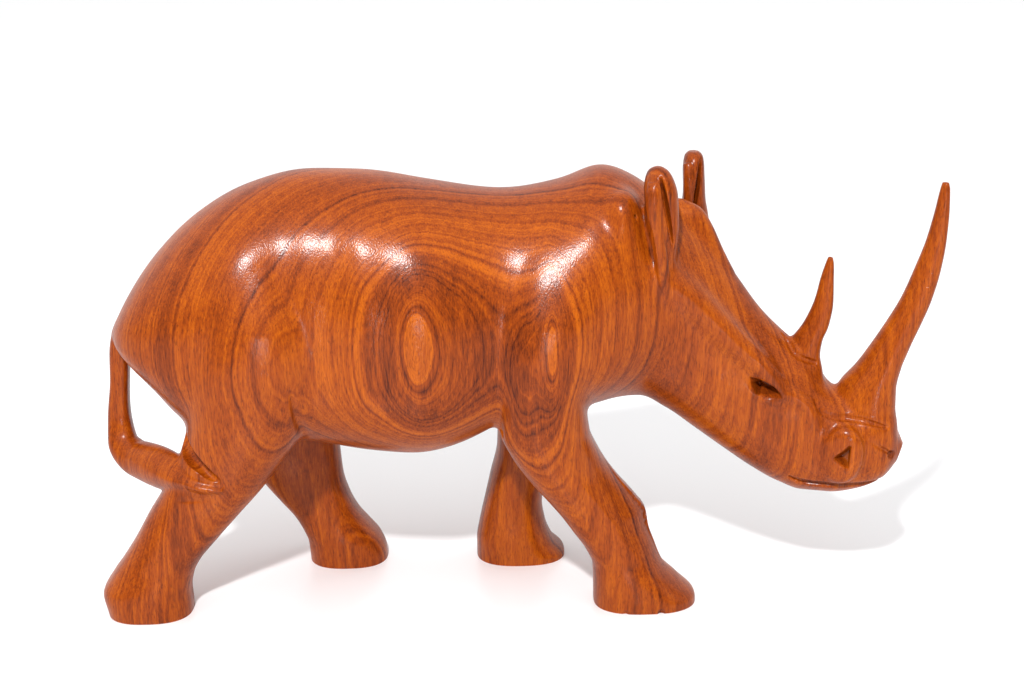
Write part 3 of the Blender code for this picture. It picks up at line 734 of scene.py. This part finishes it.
# Long waves in the sheets, and short ones: the size of a wave along X, Y and Z, and its swing.
SWAY = ((110, 110, 260), 7.0)
RIPPLE = ((24, 24, 110), 1.8)
# Two cores where the sheets bulge more, the belly's and the shoulder's: x, z, how much, half width
# and half height.
CORES = ((-133.0, 338.0, 12.0, 25.0, 75.0), (26.0, 335.0, 20.0, 12.0, 75.0))
# The bands from the cores outward: the square root of the depth, and how dark from 0 to 1.
BANDS = (
    (0.0, 0.0), (2.5, 0.0), (2.72, 0.7), (3.05, 0.65), (3.3, 0.45), (3.5, 0.25), (3.75, 0.6), (4.6, 0.65),
    (5.85, 0.55), (6.12, 0.1), (6.31, 0.15), (6.43, 0.75), (6.56, 0.3), (7.9, 0.2), (8.9, 0.35), (9.4, 0.35),
    (9.54, 0.9), (9.68, 0.4), (10.36, 0.3), (10.5, 0.8), (10.64, 0.4), (12.0, 0.5), (13.3, 0.25),
    (14.8, 0.5), (18.0, 0.3),
)
BANDS_END = 18.0
# Layers of noise: the size of a lump along X, Y and Z, the detail and the roughness.
STREAKS = ((9, 9, 120), 3.0, 0.6)
FIBRES = ((1.6, 1.6, 18), 3.0, 0.65)
CLOUDS = ((90, 90, 150), 3.0, 0.5)
PORES = ((1.1, 1.1, 7), 1.0, 0.5)
KNIFE_MARKS = ((34, 34, 44), 1.0, 0.5)
POLISH_RIPPLES = ((1.7, 1.7, 2.6), 1.0, 0.5)
# Shades that change from ring to ring: how often, the detail and the roughness. Streaks carry the fine ones
# up and down by this many rings.
BROAD_SHADES = (0.9, 2.0, 0.5)
FINE_SHADES = (5.0, 3.0, 0.6)
FINE_DRIFT = 0.25
# Between these heights of their noise the pores open. They dent the grain by this share of a fibre.
PORE_EDGE = (0.58, 0.7)
PORE_DENT = 0.7
# How much each layer darkens or lightens the wood, and how dark it is without them.
BAND_SHARE = 0.75
BROAD_SHARE = 0.35
FINE_SHARE = 0.8
STREAK_SHARE = 0.65
FIBRE_SHARE = 1.1
CLOUD_SHARE = 0.35
PORE_SHARE = 0.45
DARKNESS = 0.15
LIGHT_WOOD = (0.45, 0.095, 0.003, 1.0)
MIDDLE_WOOD = (0.26, 0.042, 0.002, 1.0)
DARK_WOOD = (0.06, 0.008, 0.001, 1.0)
# The roughness from the smoothest fibres to the roughest, and the heights of their noise between which it
# changes.
ROUGHNESS = (0.36, 0.5)
FIBRE_EDGE = (0.3, 0.7)
# How deep the relief of knife marks, grain and polish is in drawing units, and how strongly it shows.
KNIFE_RELIEF = (4.0, 0.12)
GRAIN_RELIEF = (0.4, 0.3)
POLISH_RELIEF = (0.5, 0.32)
# Painted shade in the hollows of the eyes, nostrils, muzzle pits and mouth: place along the head, out, up,
# and half sizes.
PAINTED_SHADE_SPOTS = (
    ((291, 43, 265), (29, 11, 19)), ((376, 43, 189), (24, 9, 28)), ((426, 24, 187), (6, 7, 6)),
    ((366, 33, 150), (52, 12, 3)),
)
# How strong that painted shade is, and up to which share of the half sizes it is at its full strength.
PAINTED_SHADE_STRENGTH = 0.45
PAINTED_SHADE_CORE = 0.75


class Nodes:
    """A material's node tree, with a short method for each kind of node that it needs."""

    def __init__(self, name):
        self.material = bpy.data.materials.new(name)
        self.material.use_nodes = True
        self.tree = self.material.node_tree
        self.shader = self.tree.nodes["Principled BSDF"]

    def give(self, socket, value):
        """Links a socket to another node's output, or sets its constant."""
        if isinstance(value, bpy.types.NodeSocket):
            self.tree.links.new(value, socket)
        else:
            socket.default_value = value

    def math(self, operation, *values):
        """One sum on numbers or other nodes' outputs."""
        node = self.tree.nodes.new("ShaderNodeMath")
        node.operation = operation
        for socket, value in zip(node.inputs, values):
            self.give(socket, value)
        return node.outputs[0]

    def total(self, *values):
        result = values[0]
        for value in values[1:]:
            result = self.math("ADD", result, value)
        return result

    def product(self, *values):
        result = values[0]
        for value in values[1:]:
            result = self.math("MULTIPLY", result, value)
        return result

    def swing(self, noise, share):
        """Noise from 0 to 1 turned into a swing of this size about zero."""
        return self.product(self.math("SUBTRACT", noise, 0.5), share)

    def on_vector(self, operation, vector, other=(0, 0, 0)):
        """The node of one sum on a vector and three constants."""
        node = self.tree.nodes.new("ShaderNodeVectorMath")
        node.operation = operation
        self.give(node.inputs[0], vector)
        node.inputs[1].default_value = other
        return node

    def stretched(self, vector, factors):
        return self.on_vector("MULTIPLY", vector, factors).outputs["Vector"]

    def moved(self, vector, offset):
        return self.on_vector("ADD", vector, offset).outputs["Vector"]

    def length(self, vector):
        return self.on_vector("LENGTH", vector).outputs["Value"]

    def texture(self, dimensions, name, place, scale, detail, roughness):
        """Soft noise from 0 to 1 over a place given to the input of this name."""
        node = self.tree.nodes.new("ShaderNodeTexNoise")
        node.noise_dimensions = dimensions
        self.give(node.inputs[name], place)
        node.inputs["Scale"].default_value = scale
        node.inputs["Detail"].default_value = detail
        node.inputs["Roughness"].default_value = roughness
        return node.outputs[0]

    def noise(self, vector, size, detail=2.0, roughness=0.5):
        """Soft noise with lumps of the given size along X, Y and Z."""
        place = self.stretched(vector, [1 / length for length in size])
        return self.texture("3D", "Vector", place, 1.0, detail, roughness)

    def noise_along(self, place, pace, detail, roughness):
        """Soft noise that changes with one number."""
        return self.texture("1D", "W", place, pace, detail, roughness)

    def span(self, value, low, high, to_low=0.0, to_high=1.0):
        """The value carried from one range to another and held inside it."""
        node = self.tree.nodes.new("ShaderNodeMapRange")
        self.give(node.inputs["Value"], value)
        for name, limit in (("From Min", low), ("From Max", high), ("To Min", to_low), ("To Max", to_high)):
            node.inputs[name].default_value = limit
        return node.outputs[0]

    def ramp(self, place, stops):
        """A grey or coloured ramp over (place, colour or number) stops."""
        node = self.tree.nodes.new("ShaderNodeValToRGB")
        self.give(node.inputs[0], place)
        elements = node.color_ramp.elements
        while len(elements) < len(stops):
            elements.new(0.5)
        for element, (position, colour) in zip(elements, stops):
            element.position = position
            element.color = colour if isinstance(colour, tuple) else (colour, colour, colour, 1.0)
        return node.outputs[0]

    def mixed(self, share, first, second):
        """The first colour with a share of the second over it."""
        node = self.tree.nodes.new("ShaderNodeMix")
        node.data_type = "RGBA"
        self.give(node.inputs[0], share)
        # Colours go in by inputs 6 and 7 and come out by output 2. The others are for numbers and vectors.
        self.give(node.inputs[6], first)
        self.give(node.inputs[7], second)
        return node.outputs[2]

    def bump(self, height, relief, under=None):
        """The surface's direction with a relief of (depth, strength), over another one under it."""
        depth, strength = relief
        node = self.tree.nodes.new("ShaderNodeBump")
        node.inputs["Strength"].default_value = strength
        node.inputs["Distance"].default_value = depth * UNIT
        self.give(node.inputs["Height"], height)
        if under is not None:
            self.give(node.inputs["Normal"], under)
        return node.outputs[0]


def ring_count(nodes, place):
    """The square root of how deep a point lies behind the first ring sheet."""
    separate = nodes.tree.nodes.new("ShaderNodeSeparateXYZ")
    nodes.give(separate.inputs[0], place)
    x, y, z = separate.outputs
    across = nodes.math("SUBTRACT", x, BULGE_X)
    bend = nodes.product(across, across, 0.5 / BULGE_RADIUS)
    twist = nodes.product(across, nodes.total(y, NEAR_FACE), -TWIST)
    lean = nodes.product(nodes.math("SUBTRACT", z, LEAN_HEIGHT), -LEAN)
    waves = [nodes.swing(nodes.noise(place, size), height) for size, height in (SWAY, RIPPLE)]
    depth = nodes.total(y, bend, twist, lean, *waves, FIRST_DEPTH)
    for core_x, core_z, rise, width, height in CORES:
        along = nodes.math("DIVIDE", nodes.math("SUBTRACT", x, core_x), width)
        up = nodes.math("DIVIDE", nodes.math("SUBTRACT", z, core_z), height)
        away = nodes.total(nodes.product(along, along), nodes.product(up, up))
        hill = nodes.math("EXPONENT", nodes.product(away, -1.0))
        depth = nodes.math("SUBTRACT", depth, nodes.product(hill, rise))
    return nodes.math("SQRT", nodes.math("MAXIMUM", depth, 0.0))


def painted_shade(nodes, place):
    """How strongly painted shade darkens the hollows on both sides of the head, from 0 to 1."""
    spots = []
    for middle, radii in PAINTED_SHADE_SPOTS:
        for side in (-1, 1):
            offset = nodes.moved(place, -turned([middle], side)[0])
            offset = nodes.stretched(offset, [1 / length for length in radii])
            spots.append(nodes.span(nodes.length(offset), 1.0, PAINTED_SHADE_CORE, 0.0, PAINTED_SHADE_STRENGTH))
    return nodes.total(*spots)


def wood_colour(nodes, place, fibres, pores):
    """The bands, shades, streaks and clouds of the wood, its pores, and painted shade darkening the head's
    hollows.
    """
    rings = ring_count(nodes, place)
    bands = nodes.ramp(nodes.math("DIVIDE", rings, BANDS_END), [(at / BANDS_END, dark) for at, dark in BANDS])
    streaks = nodes.noise(place, *STREAKS)
    broad = nodes.noise_along(rings, *BROAD_SHADES)
    fine = nodes.noise_along(nodes.total(rings, nodes.product(streaks, FINE_DRIFT)), *FINE_SHADES)
    clouds = nodes.noise(place, *CLOUDS)
    dark = nodes.product(bands, BAND_SHARE)
    layers = (
        (broad, BROAD_SHARE), (fine, FINE_SHARE), (streaks, STREAK_SHARE), (fibres, FIBRE_SHARE),
        (clouds, CLOUD_SHARE),
    )
    for layer, share in layers:
        dark = nodes.total(dark, nodes.swing(layer, share))
    dark = nodes.total(dark, DARKNESS)
    colour = nodes.ramp(dark, [(0.0, LIGHT_WOOD), (0.5, MIDDLE_WOOD), (1.0, DARK_WOOD)])
    colour = nodes.mixed(nodes.product(pores, PORE_SHARE), colour, DARK_WOOD)
    # Painted shade: the hollows of the eyes, nostrils, muzzle pits and mouth are darkened towards the dark
    # wood.
    return nodes.mixed(painted_shade(nodes, place), colour, DARK_WOOD)


def polished_wood():
    """Reddish brown wood with rings, streaks, pores and a satin polish."""
    nodes = Nodes("Polished wood")
    coordinates = nodes.tree.nodes.new("ShaderNodeTexCoord").outputs["Object"]
    place = nodes.stretched(coordinates, [1 / UNIT] * 3)
    fibres = nodes.noise(place, *FIBRES)
    pores = nodes.span(nodes.noise(place, *PORES), *PORE_EDGE)
    shader = nodes.shader.inputs
    nodes.give(shader["Base Color"], wood_colour(nodes, place, fibres, pores))
    nodes.give(shader["Roughness"], nodes.span(fibres, *FIBRE_EDGE, *ROUGHNESS))
    shader["Specular IOR Level"].default_value = 0.06
    shader["Coat Weight"].default_value = 0.33
    shader["Coat Roughness"].default_value = 0.2
    shader["Coat IOR"].default_value = 1.45
    knife = nodes.bump(nodes.noise(place, *KNIFE_MARKS), KNIFE_RELIEF)
    grain = nodes.bump(nodes.total(fibres, nodes.product(pores, -PORE_DENT)), GRAIN_RELIEF, knife)
    polish = nodes.bump(nodes.noise(place, *POLISH_RIPPLES), POLISH_RELIEF, knife)
    nodes.give(shader["Normal"], grain)
    nodes.give(shader["Coat Normal"], polish)
    return nodes.material


def floor_material():
    nodes = Nodes("Pale glossy floor")
    shader = nodes.shader.inputs
    shader["Base Color"].default_value = (0.93, 0.93, 0.94, 1.0)
    shader["Roughness"].default_value = 0.32
    return nodes.material


# The floor reaches this far from the figure, in metres.
FLOOR_HALF = 20.0


def floor():
    mesh = bpy.data.meshes.new("floor")
    corners = [(-1, -1), (1, -1), (1, 1), (-1, 1)]
    mesh.from_pydata([(x * FLOOR_HALF, y * FLOOR_HALF, 0) for x, y in corners], [], [(0, 1, 2, 3)])
    mesh.materials.append(floor_material())
    piece = bpy.data.objects.new("floor", mesh)
    bpy.context.scene.collection.objects.link(piece)


# The soft lamps: place in metres, the side of the square in metres, watts; and what they are aimed at.
LAMPS = (((-0.22, -1.1, 1.08), 0.085, 22.0), ((-0.02, -1.45, 0.16), 0.06, 1.8))
LAMP_AIM = (0.0, 0.0, 0.08)
# The white room is bright overhead and behind the figure, and dim behind the camera. It fades over this
# range, from 1 where it is brightest to -1 on the other side.
ROOM_TURN = (0.0, 0.5, 0.87)
ROOM_BRIGHT = 1.08
ROOM_DIM = 0.05
ROOM_FADE = (-0.5, 0.6)


def placed(right, up, back, place):
    """The matrix of a lamp or camera at a place, from the three ways that its sides face."""
    matrix = np.eye(4)
    matrix[:3, :3] = np.stack([right, up, back], 1)
    matrix[:3, 3] = place
    return Matrix(matrix.tolist())


def lamps():
    for place, side, watts in LAMPS:
        back = np.array(place) - LAMP_AIM
        back /= np.linalg.norm(back)
        right = np.cross((0.0, 0.0, 1.0), back)
        right /= np.linalg.norm(right)
        lamp = bpy.data.lights.new("soft lamp", "AREA")
        lamp.size = side
        lamp.energy = watts
        holder = bpy.data.objects.new("soft lamp", lamp)
        holder.matrix_world = placed(right, np.cross(back, right), back, place)
        bpy.context.scene.collection.objects.link(holder)


def room():
    """The white room, its brightness worked out from how far each direction is from the brightest one."""
    world = bpy.data.worlds.new("white room")
    world.use_nodes = True
    tree = world.node_tree
    heading = tree.nodes.new("ShaderNodeTexCoord")
    facing = tree.nodes.new("ShaderNodeVectorMath")
    facing.operation = "DOT_PRODUCT"
    facing.inputs[1].default_value = ROOM_TURN
    fade = tree.nodes.new("ShaderNodeMapRange")
    fade.interpolation_type = "SMOOTHSTEP"
    fade.inputs["From Min"].default_value, fade.inputs["From Max"].default_value = ROOM_FADE
    fade.inputs["To Min"].default_value = ROOM_DIM
    fade.inputs["To Max"].default_value = ROOM_BRIGHT
    background = tree.nodes["Background"].inputs
    background["Color"].default_value = (1.0, 1.0, 1.0, 1.0)
    tree.links.new(heading.outputs["Generated"], facing.inputs[0])
    tree.links.new(facing.outputs["Value"], fade.inputs["Value"])
    tree.links.new(fade.outputs[0], background["Strength"])
    bpy.context.scene.world = world


# The camera: the point it looks at and its distance in drawing units, its angles in degrees, its lens.
AIM = (-14.3, 0.0, 287.9)
DISTANCE = 2321.4
AZIMUTH = -2.5
ELEVATION = 17.0
ROLL = 0.6
SENSOR = 36.0
LENS = 68.55
# The nearest and the farthest that it sees, in metres.
NEAREST = 0.05
FARTHEST = 50.0


def camera(shift):
    """The camera, shifted in metres as the figure is."""
    azimuth, elevation, roll = np.radians((AZIMUTH, ELEVATION, ROLL))
    back = np.array([
        math.sin(azimuth) * math.cos(elevation), -math.cos(azimuth) * math.cos(elevation), math.sin(elevation)
    ])
    level = np.array([math.cos(azimuth), math.sin(azimuth), 0.0])
    upright = np.cross(back, level)
    right = level * math.cos(roll) - upright * math.sin(roll)
    up = level * math.sin(roll) + upright * math.cos(roll)
    lens = bpy.data.cameras.new("camera")
    lens.sensor_width = SENSOR
    lens.lens = LENS
    lens.clip_start = NEAREST
    lens.clip_end = FARTHEST
    holder = bpy.data.objects.new("camera", lens)
    holder.matrix_world = placed(right, up, back, (np.array(AIM) + DISTANCE * back) * UNIT + shift)
    bpy.context.scene.collection.objects.link(holder)
    bpy.context.scene.camera = holder


rhinoceros = figurine()
rhinoceros.data.materials.clear()
rhinoceros.data.materials.append(polished_wood())
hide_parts("rhinoceros")
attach(rhinoceros, "root")
floor()
lamps()
room()
camera(np.array(rhinoceros.location))
bpy.context.scene.view_settings.view_transform = "Standard"
